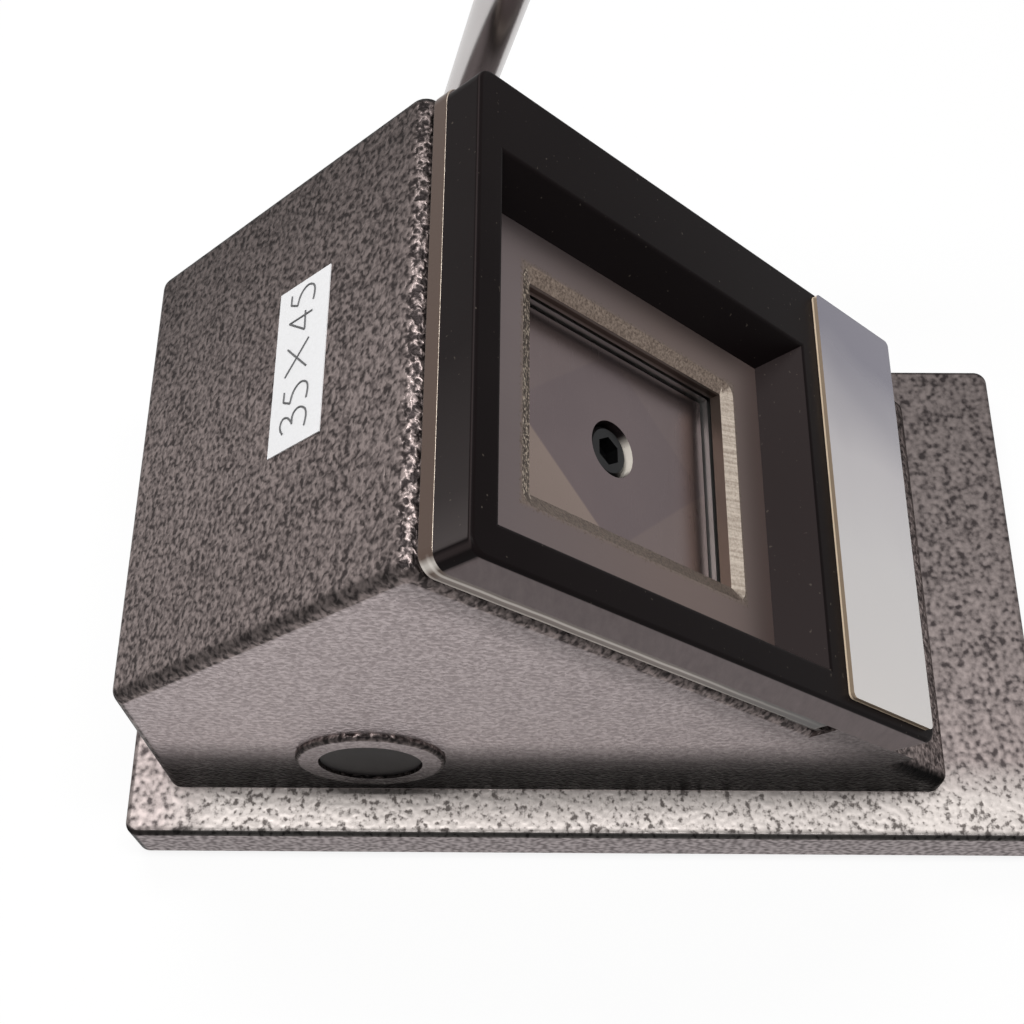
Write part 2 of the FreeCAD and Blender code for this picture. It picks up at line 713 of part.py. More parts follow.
def make_punch():
    half_x = "card_width / 2 - punch_play"
    half_y = "card_length / 2 - punch_play"
    head_floor = "0 - punch_recess - punch_screw_sink - punch_head_height"
    punch = new_body("punch")
    slab(punch, f"0 - ({half_x})", half_x, f"0 - ({half_y})", half_y, "holder_top",
         "0 - punch_recess")
    bore(punch, ("0", "0", "holder_top - over"), "punch_screw_radius + thread_play",
         "punch_height + 2 * over")
    bore(punch, ("0", "0", head_floor), "punch_bore_radius",
         "punch_head_height + punch_screw_sink + over")
    for x, y in DOWELS:
        bore(punch, (x, y, "holder_top - over"), "dowel_radius", "dowel_length / 2 + over")
    on_deck(punch)

    head = solid("Cylinder", "punch_screw_head", Radius="punch_head_radius",
                 Height="punch_head_height - punch_head_bevel")
    rim = solid("Cone", "punch_screw_rim", ("0", "0", "punch_head_height - punch_head_bevel"),
                Radius1="punch_head_radius", Radius2="punch_head_radius - punch_head_bevel",
                Height="punch_head_bevel")
    shank_length = f"{head_floor} - holder_bottom - over"
    shank = solid("Cylinder", "punch_screw_shank", ("0", "0", f"0 - ({shank_length})"),
                  Radius="punch_screw_radius", Height=shank_length)
    socket = solid("Prism", "punch_screw_socket", ("0", "0", "punch_head_height * socket_share"),
                   Circumradius="punch_head_radius * socket_share * 1.15",
                   Height="punch_head_height")
    screw = put(cut("punch_screw_turned", fused("punch_screw_blank", [head, rim, shank]), socket),
                ("0", "0", head_floor))
    on_deck(group("punch_screw", [screw]))

    holder = new_body("punch_holder")
    slab(holder, "0 - holder_half_width", "holder_half_width", "0 - holder_half_length",
         "holder_half_length", "holder_bottom", "holder_top")
    round_edges(holder, "spring_wire", upright)
    bore(holder, ("0", "0", "holder_bottom - over"), "punch_screw_radius + thread_play",
         "holder_thickness + 2 * over")
    for x, y in DOWELS:
        bore(holder, (x, y, "holder_top - dowel_length / 2"), "dowel_radius",
             "dowel_length / 2 + over")
    for y in ("0 - post_place", "post_place"):
        bore(holder, ("0", y, "holder_bottom - over"), "guide_bush_radius",
             "holder_thickness + 2 * over")
    for x in RACK_SCREWS:
        bore(holder, (x, "rack_screw_y", "holder_bottom - over"),
             "small_screw_radius + thread_play", "holder_thickness + 2 * over")
        bore(holder, (x, "rack_screw_y", f"holder_top - ({RACK_HEAD_DEPTH})"),
             "small_screw_radius * cap_screw_radius_share + head_play",
             f"{RACK_HEAD_DEPTH} + over")
    on_deck(holder)

    pins = [solid("Cylinder", f"dowel_{index}", (x, y, "holder_top - dowel_length / 2"),
                  Radius="dowel_radius", Height="dowel_length")
            for index, (x, y) in enumerate(DOWELS)]
    on_deck(group("punch_dowels", pins))


RACK_HEAD_DEPTH = "small_screw_radius * 2 * cap_screw_height_share + head_play"
RACK_SCREWS = ["0 - rack_width / 4", "rack_width / 4"]


def make_guides():
    bushes = [ring(f"guide_bush_{index}", "guide_bush_radius", "guide_post_radius + post_play",
                   "bush_length", ("0", y, "holder_top - bush_length"))
              for index, y in enumerate(("0 - post_place", "post_place"))]
    on_deck(group("guide_bushes", bushes))

    for name, y in (("front_return_spring", "0 - post_place"),
                    ("rear_return_spring", "post_place")):
        coil = ring(name + "_tube", "spring_inner + spring_wire", "spring_inner",
                    "0 - guide_thickness - holder_top", ("0", y, "holder_top"))
        on_deck(group(name, [coil]))


def make_rack():
    half = "rack_width / 2"
    root = "rack_pitch_y + dedendum"
    bar = solid("Box", "rack_bar", (f"0 - {half}", root, "rack_bottom"), Length="rack_width",
                Width="rack_back", Height="holder_bottom - rack_bottom")
    teeth = [bar]
    for index in range(int(size("rack_teeth"))):
        middle = f"shaft_deck_z + (rack_top_teeth - {index}) * tooth_pitch"
        tooth = doc.addObject("Part::Wedge", f"rack_tooth_{index}")
        at_pitch = "(tooth_pitch - gear_backlash) / 4"
        wide = f"({at_pitch} + dedendum * tan(pressure_angle))"
        slim = f"({at_pitch} - addendum * tan(pressure_angle))"
        tooth.Placement = Placement(Vector(), Rotation(X_AXIS, 180))
        bind(tooth, Xmin=f"0 - {half}", Xmax=half, X2min=f"0 - {half}", X2max=half,
             Ymin=f"0 - ({root})", Ymax="addendum - rack_pitch_y",
             Zmin=f"0 - ({middle}) - {wide}", Zmax=f"{wide} - ({middle})",
             Z2min=f"0 - ({middle}) - {slim}", Z2max=f"{slim} - ({middle})")
        teeth.append(tooth)
    blank = fused("rack_blank", teeth)
    holes = [solid("Cylinder", f"rack_hole_{index}",
                   (x, "rack_screw_y", "holder_bottom - rack_screw_depth"),
                   Radius="small_screw_radius + thread_play", Height="rack_screw_depth + over")
             for index, x in enumerate(RACK_SCREWS)]
    on_deck(group("rack", [cut("rack_cut", blank, fused("rack_holes", holes))]))

    screws = [cap_screw(f"rack_screw_{index}", "small_screw_radius",
                        f"holder_thickness - ({RACK_HEAD_DEPTH}) + rack_screw_depth - over",
                        (x, "rack_screw_y", f"holder_top - ({RACK_HEAD_DEPTH})"))
              for index, x in enumerate(RACK_SCREWS)]
    on_deck(group("rack_screws", screws))


def involute_angle(radius, base_radius):
    turn = math.acos(min(base_radius / radius, 1.0))
    return math.tan(turn) - turn


def gear_outline():
    """Corners of the pinion in a plane, with a tooth gap centred on the first axis."""
    teeth = int(size("gear_teeth"))
    pitch = size("pitch_radius")
    base = pitch * math.cos(math.radians(size("pressure_angle")))
    tip = pitch + size("addendum")
    root = pitch - size("dedendum")
    half_tooth = (math.pi * size("gear_module") - size("gear_backlash")) / 4 / pitch
    at_base = half_tooth + involute_angle(pitch, base)
    flank = [(root, at_base)]
    for share in FLANK_SHARES:
        radius = base + share * (tip - base)
        flank.append((radius, at_base - involute_angle(radius, base)))
    corners = []
    for index in range(teeth):
        middle = (index + 0.5) * 2 * math.pi / teeth
        corners += [(radius, middle - half) for radius, half in flank]
        corners += [(radius, middle + half) for radius, half in reversed(flank)]
    return corners


FLANK_SHARES = (0, 0.3, 0.65, 1)


def make_pinion():
    points = [Vector(0, radius * math.cos(angle), radius * math.sin(angle))
              for radius, angle in gear_outline()]
    wheel = Part.Face(Part.makePolygon(points + points[:1])).extrude(X_AXIS * size("gear_width"))
    wheel.translate(X_AXIS * (-size("gear_width") / 2))
    collar = Part.makeCylinder(size("collar_radius"), size("gear_width") / 2
                               + size("collar_width"), Vector(), X_AXIS)
    hole = Part.makeCylinder(size("shaft_radius"), 4 * size("gear_width"),
                             X_AXIS * (-2 * size("gear_width")), X_AXIS)
    pin_place = X_AXIS * (size("gear_width") / 2 + size("collar_width") / 2)
    pin_hole = Part.makeCylinder(size("roll_pin_radius"), 4 * size("collar_radius"),
                                 pin_place - Y_AXIS * (2 * size("collar_radius")), Y_AXIS)
    pinion = doc.addObject("Part::Feature", "pinion")
    pinion.Label = "pinion"
    pinion.Shape = wheel.fuse(collar).cut(hole).cut(pin_hole).removeSplitter()
    put(tilt(pinion, "panel_tilt"), ("die_centre", "shaft_y", "shaft_z"))
    parts.append(pinion)

    pin = solid("Cylinder", "pinion_pin_turned",
                ("(gear_width + collar_width) / 2", "0 - collar_radius + groove_depth", "0"),
                ALONG_Y, Radius="roll_pin_radius", Height="2 * (collar_radius - groove_depth)")
    put(tilt(group("pinion_pin", [pin]), "panel_tilt"), ("die_centre", "shaft_y", "shaft_z"))


def make_shaft():
    shaft = new_body("cross_shaft")
    feature(shaft, "AdditiveCylinder", ("shaft_left", "0", "0"), ALONG_X,
            Radius="shaft_radius", Height="shaft_right - shaft_left")
    groove = shaft.newObject("PartDesign::SubtractiveCylinder", "ring_groove")
    bind(groove, Radius="shaft_radius + over", Height="ring_thickness")
    put(groove, ("bush_left_end + side_play", "0", "0"), ALONG_X)
    feature(shaft, "AdditiveCylinder", ("bush_left_end + side_play", "0", "0"), ALONG_X,
            Radius="shaft_radius - groove_depth", Height="ring_thickness")
    pin_hole = bore(shaft, ("die_centre + (gear_width + collar_width) / 2",
                            "0 - shaft_radius * 2 * cos(panel_tilt)",
                            "0 - shaft_radius * 2 * sin(panel_tilt)"),
                    "roll_pin_radius", "shaft_radius * 4", Rotation(X_AXIS, 1))
    bind(pin_hole, **{"Placement.Rotation.Angle": "panel_tilt - 90"})
    put(shaft, ("0", "shaft_y", "shaft_z"))

    for name, start, end in (("left_bush", "bush_left", "bush_left_end"),
                             ("right_bush", "bush_right_end", "boss_right")):
        tube = ring(name + "_turned", "journal_radius", "shaft_radius + shaft_play",
                    f"{end} - ({start})", (start, "shaft_y", "shaft_z"), ALONG_X)
        group(name, [tube])
    clip = ring("retaining_ring_flat", "ring_radius", "shaft_radius - groove_depth",
                "ring_thickness", ("bush_left_end + side_play", "shaft_y", "shaft_z"), ALONG_X)
    group("retaining_ring", [clip])
    washer = ring("thrust_washer_flat", "hub_radius - hub_edge", "shaft_radius + shaft_play",
                  "washer_thickness",
                  ("boss_right + side_play", "shaft_y", "shaft_z"), ALONG_X)
    group("thrust_washer", [washer])
    cap = new_body("shaft_cap")
    feature(cap, "AdditiveCylinder", ("bush_left - cap_thickness", "shaft_y", "shaft_z"), ALONG_X,
            Radius="cap_radius", Height="cap_thickness")
    round_edges(cap, "side_play * 4", lambda edge: edge.BoundBox.XLength < TOUCHING
                and edge.BoundBox.XMin < size("bush_left") - size("cap_thickness") + TOUCHING)


def make_lever():
    hub = new_body("lever_hub")
    feature(hub, "AdditiveCylinder", ("hub_left", "0", "0"), ALONG_X, Radius="hub_radius",
            Height="hub_width")
    round_edges(hub, "hub_edge", lambda edge: edge.BoundBox.XLength < TOUCHING)
    bore(hub, ("hub_left - over", "0", "0"), "shaft_radius", "hub_width + 2 * over", ALONG_X)
    bore(hub, ("lever_plane", "0", "rod_seat_height"), "rod_neck_radius", "hub_radius")
    bore(hub, ("lever_plane", "0", "0 - hub_radius * 2"), "set_screw_radius",
         "hub_radius * 2 - shaft_radius / 2")
    at_shaft(hub)

    screw = solid("Cylinder", "hub_set_screw_blank",
                  ("lever_plane", "0", "hub_edge - hub_radius"),
                  Radius="set_screw_radius", Height="hub_radius - hub_edge - shaft_radius")
    socket = solid("Prism", "hub_set_screw_socket",
                   ("lever_plane", "0", "hub_edge - hub_radius"),
                   Circumradius="set_screw_radius * socket_share", Height="set_screw_radius")
    at_shaft(group("hub_set_screw", [cut("hub_set_screw_cut", screw, socket)]))

    rod = new_body("lever_rod")
    feature(rod, "AdditiveCylinder", ("lever_plane", "0", "rod_seat_height"), Radius="rod_neck_radius",
            Height="hub_radius + over - rod_seat_height")
    feature(rod, "AdditiveCone", ("lever_plane", "0", "hub_radius"), Radius1="rod_root_radius",
            Radius2="rod_tip_radius", Height="rod_length - hub_radius")
    feature(rod, "AdditiveCylinder", ("lever_plane", "0", "rod_length - over"),
            Radius="rod_neck_radius", Height="rod_neck_length + over")
    at_shaft(rod)

    knob = new_body("lever_knob")
    ball = knob.newObject("PartDesign::AdditiveSphere", "lever_knob_ball")
    bind(ball, Radius="knob_radius")
    put(ball, ("lever_plane", "0", "rod_length + knob_radius - knob_flat"))
    slab(knob, "lever_plane - knob_radius", "lever_plane + knob_radius", "0 - knob_radius",
         "knob_radius", "rod_length - knob_radius", "rod_length", "SubtractiveBox")
    bore(knob, ("lever_plane", "0", "rod_length - over"), "rod_neck_radius",
         "rod_neck_length + over")
    at_shaft(knob)


def write_parts():
    doc.recompute()
    broken = [thing.Name for thing in doc.Objects
              if "Invalid" in thing.State or "Error" in thing.State]
    broken += [part.Label for part in parts if part.Shape.isNull() or not part.Shape.isValid()]
    if broken:
        raise RuntimeError("not well made: " + ", ".join(broken))
    os.makedirs("parts", exist_ok=True)
    for part in parts:
        part.Shape.exportStep(f"parts/{part.Label}.step")
        print(part.Label, len(part.Shape.Solids), round(part.Shape.Volume, 2))


make_base()
make_housing()
make_guide_plate()
make_die()
make_bezel()
make_nameplate()
make_label()
make_punch()
make_guides()
make_rack()
make_pinion()
make_shaft()
make_lever()
write_parts()
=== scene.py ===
import math

import bpy
from mathutils import Matrix, Vector


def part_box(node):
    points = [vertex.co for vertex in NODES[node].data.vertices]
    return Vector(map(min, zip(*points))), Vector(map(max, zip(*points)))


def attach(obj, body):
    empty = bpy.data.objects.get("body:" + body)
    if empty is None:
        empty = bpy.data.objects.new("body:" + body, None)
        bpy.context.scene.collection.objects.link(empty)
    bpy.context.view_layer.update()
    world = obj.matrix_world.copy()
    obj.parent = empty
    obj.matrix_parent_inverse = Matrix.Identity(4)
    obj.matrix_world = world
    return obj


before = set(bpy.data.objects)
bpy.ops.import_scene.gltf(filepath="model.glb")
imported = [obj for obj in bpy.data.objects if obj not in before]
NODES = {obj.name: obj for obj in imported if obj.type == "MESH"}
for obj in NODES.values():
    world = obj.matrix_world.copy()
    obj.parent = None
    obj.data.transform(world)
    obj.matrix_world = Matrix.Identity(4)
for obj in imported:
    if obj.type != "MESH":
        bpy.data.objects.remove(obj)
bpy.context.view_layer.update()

# The deck is the sloping panel: X across, up the slope, and out of the panel.
TILT = math.radians(45)
ACROSS = Vector((1, 0, 0))
UP_SLOPE = Vector((0, math.cos(TILT), math.sin(TILT)))
OUTWARD = Vector((0, -math.sin(TILT), math.cos(TILT)))
UPWARD = Vector((0, 0, 1))
REARWARD = Vector((0, 1, 0))

# The photograph's camera, in the part's frame.
CAMERA_PLACE = Vector((-0.12022, 0.01254, 0.28764))
CAMERA_RIGHT = Vector((0.00709, -0.99997, -0.00262))
CAMERA_UP = Vector((0.89591, 0.00519, 0.44421))
CAMERA_AHEAD = Vector((0.44418, 0.00549, -0.89592))
LENS_MM = 54.50
SENSOR_MM = 36.0
CLIP_START = 0.01

# Lamps: name, place, aim, size in metres, power in watts.
LAMPS = (("overhead", (-0.025, 0.07, 0.95), (-0.025, 0.07, 0), (0.11, 0.8), 6.8),
         ("far_side", (0.50, 0.20, 0.95), (0.0, 0.0, 0.08), (0.4, 0.36), 3.0))
SKY_LIGHT = (1.0, 0.985, 0.97, 1.0)
SKY_STRENGTH = 0.20
SKY_SEEN = (1.0, 1.0, 1.0, 1.0)
WHITE = (1, 1, 1)
FLOOR_HALF = 3.0
FLOOR_COLOUR = (0.95, 0.95, 0.95)
FLOOR_WHITENESS = 0.88

# Lengths on the part that the finishes go by, in metres.
SEAM = 0.0004              # above the base's top, where the housing's paint takes over
BOSS_START = 0.0009        # inward from the boss's face, where its own shade begins
BOSS_FULL = 0.0005         # and where it is full
PLUG_MARGIN = 0.004        # of the boss's shade, past the plug above and below
FOOT_BAND = 0.027          # height of the dark band at the near wall's foot
PANEL_BAND = 0.009         # width of the shade under the panel's plate
FAR_SHADE_START = -0.02    # across, where the housing starts to darken towards its far side
PAINT_RELIEF = 0.00042     # depth of the paint's pits
OPENING_FOOT = 0.0337      # from the bezel's foot up the slope to its opening
FOOT_SHEEN_LENGTH = 0.008       # of the painted sheen above the opening's foot, a brown, less metallic patch
EDGE_FADE = 0.040          # over which the near edge's painted bands of highlight come up from the front
REAR_EDGE_START = 0.004    # before the die plate's rear, where the rear edge's colour begins
REAR_EDGE_FULL = 0.003     # and where it is full
WEAR_UNIT = 0.002          # in which the worn band round the window is measured
WEAR_START = 0.95          # wear units from the window's edge to the worn band's start
BORE_DIAMETER = 0.0103     # of the punch screw's bore
GRADE_NEAR, GRADE_FAR = -0.038, 0.037    # across, where the nameplate's shading starts and ends

# Films of paint, each from the colour of its pits to the colour of its crests. The upright walls'
# and base sides' films are lighter copies of one paint, as painted light, and the base margin's
# film is a painted highlight.
SLOPE_FILM = (0.047, 0.038, 0.037), (0.275, 0.225, 0.214)
LIT_WALL_FILM = (0.372, 0.316, 0.316), (0.564, 0.487, 0.487)
BASE_FILM = (0.044, 0.036, 0.036), (0.285, 0.240, 0.230)
MARGIN_HIGHLIGHT_FILM = (0.085, 0.074, 0.069), (0.400, 0.366, 0.346)
LIT_BASE_SIDE_FILM = (0.230, 0.193, 0.193), (0.600, 0.520, 0.520)
BASE_SIDE_SHADE = (0.78, 0.78, 0.78)
CREST_PITS = (0.020, 0.016, 0.016)

# The window frame's blacks and dust, and the greys painted on its ramp and sides as painted light.
FRAME_BLACK = (0.0045, 0.0028, 0.0030), (0.0085, 0.0062, 0.0064)
LIT_SIDE_GREY = (0.135, 0.107, 0.107), (0.225, 0.182, 0.182)
LIT_RAMP_GREY = (0.024, 0.018, 0.018)
LIT_REAR_GREY = (0.085, 0.073, 0.072)
DUST = (0.20, 0.17, 0.14)

# The die plate's faces, edges and rim.
FACE_BROWN = (0.124, 0.092, 0.084), (0.158, 0.118, 0.108)
FACE_GREY = (0.118, 0.095, 0.096), (0.150, 0.121, 0.121)
GRIND_LIGHT = (0.24, 0.19, 0.165)
FOOT_SHEEN_BROWN = (0.105, 0.074, 0.067)
EDGE_HIGHLIGHT_BANDS = ((0.0, (0.34, 0.30, 0.27)), (0.14, (0.26, 0.22, 0.195)),
               (0.24, (0.085, 0.062, 0.050)), (0.46, (0.12, 0.088, 0.072)),
               (0.56, (0.38, 0.34, 0.31)), (0.66, (0.31, 0.275, 0.245)),
               (0.74, (0.085, 0.062, 0.050)), (0.93, (0.10, 0.075, 0.062)),
               (1.0, (0.02, 0.015, 0.012)))
LIT_INNER_WALL = (0.22, 0.172, 0.143)
REAR_EDGE = (0.105, 0.072, 0.058)
CORNER_HIGHLIGHT = (0.85, 0.80, 0.74)
BEADED = (0.080, 0.058, 0.047), (0.235, 0.184, 0.150)
FRONT_BEVEL_HIGHLIGHT = (0.31, 0.255, 0.210), (0.54, 0.465, 0.395)
BURRS = (0.085, 0.062, 0.050), (0.72, 0.61, 0.49)

# The punch face's painted reflection, and the painted highlight on the wall of its screw's bore.
DIAMOND_REFLECTION = (0.118, 0.093, 0.097), (0.151, 0.118, 0.119)
CORNER_REFLECTIONS = (0.206, 0.160, 0.138), (0.250, 0.194, 0.167)
BORE_HIGHLIGHT = (0.80, 0.74, 0.66)

# The nameplate's painted shade from near to far, and its warm edge.
NAMEPLATE_SHADING = ((0.08, (0.60, 0.572, 0.555)), (0.45, (0.535, 0.515, 0.512)),
                   (0.72, (0.44, 0.418, 0.430)), (1.0, (0.145, 0.135, 0.175)))
NAMEPLATE_EDGE = (0.55, 0.42, 0.30)


def reach(name, direction):
    """Where a node of the frame starts and ends along a direction, in metres."""
    node = NODES[name]
    places = [direction.dot(node.matrix_world @ vertex.co) for vertex in node.data.vertices]
    return min(places), max(places)


class Graph:
    """A material's node tree, with short calls to add and join nodes."""

    def __init__(self, name):
        self.material = bpy.data.materials.new(name)
        self.material.use_nodes = True
        self.tree = self.material.node_tree
        self.tree.nodes.clear()
        self.output = self.add("ShaderNodeOutputMaterial")

    def add(self, kind, inputs=(), **settings):
        node = self.tree.nodes.new(kind)
        for name, value in settings.items():
            setattr(node, name, value)
        for name, value in dict(inputs).items():
            self.give(node.inputs[name], value)
        return node

    def give(self, socket, value):
        if isinstance(value, bpy.types.NodeSocket):
            self.tree.links.new(value, socket)
        elif isinstance(value, (tuple, list)) and len(value) == 3 and socket.type == "RGBA":
            socket.default_value = (*value, 1.0)
        else:
            socket.default_value = value

    def place(self):
        return self.add("ShaderNodeTexCoord").outputs["Object"]

    def stretched(self, vector, scale):
        return self.add("ShaderNodeMapping", {"Vector": vector, "Scale": scale}).outputs["Vector"]

    def noise(self, scale, detail=2.0, rough=0.5, distortion=0.0, vector=None):
        node = self.add("ShaderNodeTexNoise", {"Vector": vector or self.place(), "Scale": scale,
                                               "Detail": detail, "Roughness": rough,
                                               "Distortion": distortion})
        return node.outputs["Fac"]

    def ramp(self, value, stops):
        """Greys or colours, straight from stop to stop."""
        node = self.add("ShaderNodeValToRGB", {"Fac": value})
        ramp = node.color_ramp
        while len(ramp.elements) < len(stops):
            ramp.elements.new(0.5)
        for element, (place, colour) in zip(ramp.elements, stops):
            element.position = place
            grey = (colour, colour, colour) if isinstance(colour, (int, float)) else colour
            element.color = (*grey, 1.0)
        return node.outputs["Color"]

    def rises(self, value, start, end):
        """A mask from 0 at start to 1 at end."""
        return self.ramp(value, ((start, 0.0), (end, 1.0)))

    def falls(self, value, start, end):
        """A mask from 1 at start to 0 at end."""
        return self.ramp(value, ((start, 1.0), (end, 0.0)))

    def math(self, operation, first, second=0.0, clamp=False):
        node = self.add("ShaderNodeMath", operation=operation, use_clamp=clamp)
        self.give(node.inputs[0], first)
        self.give(node.inputs[1], second)
        return node.outputs[0]

    def total(self, first, second):
        return self.math("ADD", first, second)

    def product(self, first, second):
        return self.math("MULTIPLY", first, second)

    def about_middle(self, value, share):
        """A noise's swing about its middle, times a share."""
        return self.product(self.math("SUBTRACT", value, 0.5), share)

    def mix(self, share, first, second, blend="MIX"):
        node = self.add("ShaderNodeMix", data_type="RGBA", blend_type=blend)
        self.give(node.inputs["Factor"], share)
        self.give(node.inputs["A"], first)
        self.give(node.inputs["B"], second)
        return node.outputs["Result"]

    def shaded(self, colour, shade):
        return self.mix(1.0, colour, shade, "MULTIPLY")

    def bump(self, height, distance, strength):
        inputs = {"Height": height, "Distance": distance, "Strength": strength}
        return self.add("ShaderNodeBump", inputs).outputs["Normal"]

    def clouded(self, cloud, rough, swing=0.12):
        """Roughness that swings about a value with a cloud."""
        return self.total(self.product(cloud, swing), rough - swing / 2)

    def surface(self, **inputs):
        """The finished material; an underscore in a key stands for a space in the input's name."""
        shader = self.add("ShaderNodeBsdfPrincipled")
        for key, value in inputs.items():
            self.give(shader.inputs[key.replace("_", " ")], value)
        self.tree.links.new(shader.outputs["BSDF"], self.output.inputs["Surface"])
        return self.material

    def facing(self, direction):
        """How far the surface faces a direction of the part, 1 for straight at it."""
        normal = self.add("ShaderNodeTexCoord").outputs["Normal"]
        node = self.add("ShaderNodeVectorMath", operation="DOT_PRODUCT")
        self.give(node.inputs[0], normal)
        node.inputs[1].default_value = direction
        return node.outputs["Value"]

    def along(self, direction, start, end):
        """0 at start and 1 at end, in metres along a direction of the part."""
        node = self.add("ShaderNodeVectorMath", operation="DOT_PRODUCT")
        self.give(node.inputs[0], self.place())
        node.inputs[1].default_value = direction
        span = self.add("ShaderNodeMapRange", {"Value": node.outputs["Value"], "From Min": start,
                                               "From Max": end}, clamp=False)
        return span.outputs["Result"]


def hammertone():
    """Metallic hammer paint: grey-brown film with soft dark pits, coarser on the base."""
    g = Graph("hammertone_paint")
    place = g.place()
    base_top = reach("base_plate", UPWARD)[1]
    base_near, base_far = reach("base_plate", ACROSS)
    base_front, base_rear = reach("base_plate", REARWARD)
    boss, far_wall = reach("housing", ACROSS)
    panel = reach("die_plate", OUTWARD)[0]
    plug_low, plug_high = reach("shaft_cap", UPWARD)

    on_housing = g.rises(g.along(UPWARD, base_top, base_top + SEAM), 0.0, 1.0)
    on_boss = g.rises(g.along(ACROSS, boss + BOSS_START, boss + BOSS_FULL), 0.0, 1.0)
    sideways = g.math("ABSOLUTE", g.facing(ACROSS))
    wall = g.rises(sideways, 0.955, 0.995)
    near_side = g.rises(g.product(g.facing(ACROSS), -1.0), 0.2, 0.6)
    to_near = g.along(ACROSS, (base_near + base_far) / 2, base_near)
    far_to_near = g.along(ACROSS, base_far, base_near)
    to_rear = g.along(REARWARD, base_front, base_rear)

    scale = g.total(960.0, g.product(on_housing, 200.0))
    flow = g.noise(scale, g.product(on_housing, 0.9), 0.5, g.product(on_housing, 0.35), place)
    drift = g.noise(170, 2.0, 0.5, 0.3, place)
    fine = g.noise(3000, 2.0, 0.6, 0.0, place)
    dots = g.noise(1500, 1.0, 0.5, 0.0, place)
    height = g.total(flow, g.about_middle(drift, 0.16))
    height = g.total(height, g.about_middle(fine, g.product(on_housing, 0.12)))
    worms = g.rises(height, 0.33, 0.67)

    # Painted highlight: the base's near margin gets a paler film than the rest of it, fading out
    # at the rear; the rest of the base top is painted darker towards its far side, as painted
    # shade.
    spots = g.ramp(g.total(height, g.about_middle(dots, 0.5)),
                   ((0.20, 0.0), (0.54, 0.60), (0.84, 1.0)))
    spotted = g.shaded(g.mix(spots, *BASE_FILM),
                       g.ramp(far_to_near, ((0.0, 0.58), (0.45, 0.76), (0.85, 1.0))))
    pits = g.total(g.product(height, 0.45), g.product(dots, 0.55))
    pale = g.mix(g.ramp(pits, ((0.34, 0.0), (0.47, 0.84), (0.58, 1.0))), *MARGIN_HIGHLIGHT_FILM)
    margin = g.product(g.rises(to_near, 0.70, 0.86),
                       g.ramp(to_rear, ((0.90, 1.0), (0.965, 0.1))))
    base = g.mix(margin, spotted, pale)

    # The sloping faces get a darker copy of the film and the upright walls and base sides lighter
    # ones, as painted light, with the deepest pits at the crest; the walls are also painted darker
    # towards the front, as painted shade.
    crest = g.product(g.rises(g.facing(UPWARD), 0.80, 0.93), g.falls(worms, 0.30, 0.75))
    sloped = g.mix(g.product(crest, 0.85), g.mix(worms, *SLOPE_FILM), CREST_PITS)
    upright = g.shaded(g.mix(worms, *LIT_WALL_FILM),
                       g.ramp(to_rear, ((0.15, 0.66), (0.42, 0.88), (0.85, 1.0))))
    upright = g.mix(on_housing, g.mix(worms, *LIT_BASE_SIDE_FILM), upright)
    colour = g.mix(wall, g.mix(on_housing, base, sloped), upright)

    # Painted shade: darker edges, far side, boss, foot of the near wall and strip under the
    # panel's plate.
    edge_shade = g.ramp(sideways, ((0.06, 1.0), (0.34, 0.38), (0.72, 0.38), (0.97, 1.0)))
    far_shade = g.ramp(g.along(ACROSS, FAR_SHADE_START, far_wall), ((0.3, 1.0), (1.0, 0.50)))
    foot_shade = g.ramp(g.along(UPWARD, base_top, base_top + FOOT_BAND),
                        ((0.0, 0.01), (0.40, 0.025), (0.62, 0.17), (0.82, 0.58), (1.0, 1.0)))
    foot_shade = g.mix(near_side, WHITE, foot_shade)
    boss_shade = g.ramp(g.along(UPWARD, plug_low - PLUG_MARGIN, plug_high + PLUG_MARGIN),
                        ((0.0, 0.04), (0.30, 0.20), (0.60, 0.52), (1.0, 0.80)))
    panel_shade = g.ramp(g.along(OUTWARD, panel - PANEL_BAND, panel), ((0.0, 1.0), (1.0, 0.45)))
    housing_shade = g.shaded(g.mix(on_boss, foot_shade, boss_shade), far_shade)
    housing_shade = g.mix(wall, housing_shade, g.shaded(housing_shade, panel_shade))
    base_shade = g.mix(wall, g.ramp(to_near, ((0.966, 1.0), (0.984, 0.18))), BASE_SIDE_SHADE)
    colour = g.shaded(colour, edge_shade)
    colour = g.shaded(colour, g.mix(on_housing, base_shade, housing_shade))

    depth = g.total(0.10, g.product(on_housing, 0.90))
    return g.surface(Base_Color=colour, Metallic=0.85,
                     Roughness=g.math("SUBTRACT", 0.46, g.product(worms, 0.13)),
                     Specular_Tint=(0.5, 0.5, 0.5),
                     Normal=g.bump(g.product(height, depth), PAINT_RELIEF, 0.8))


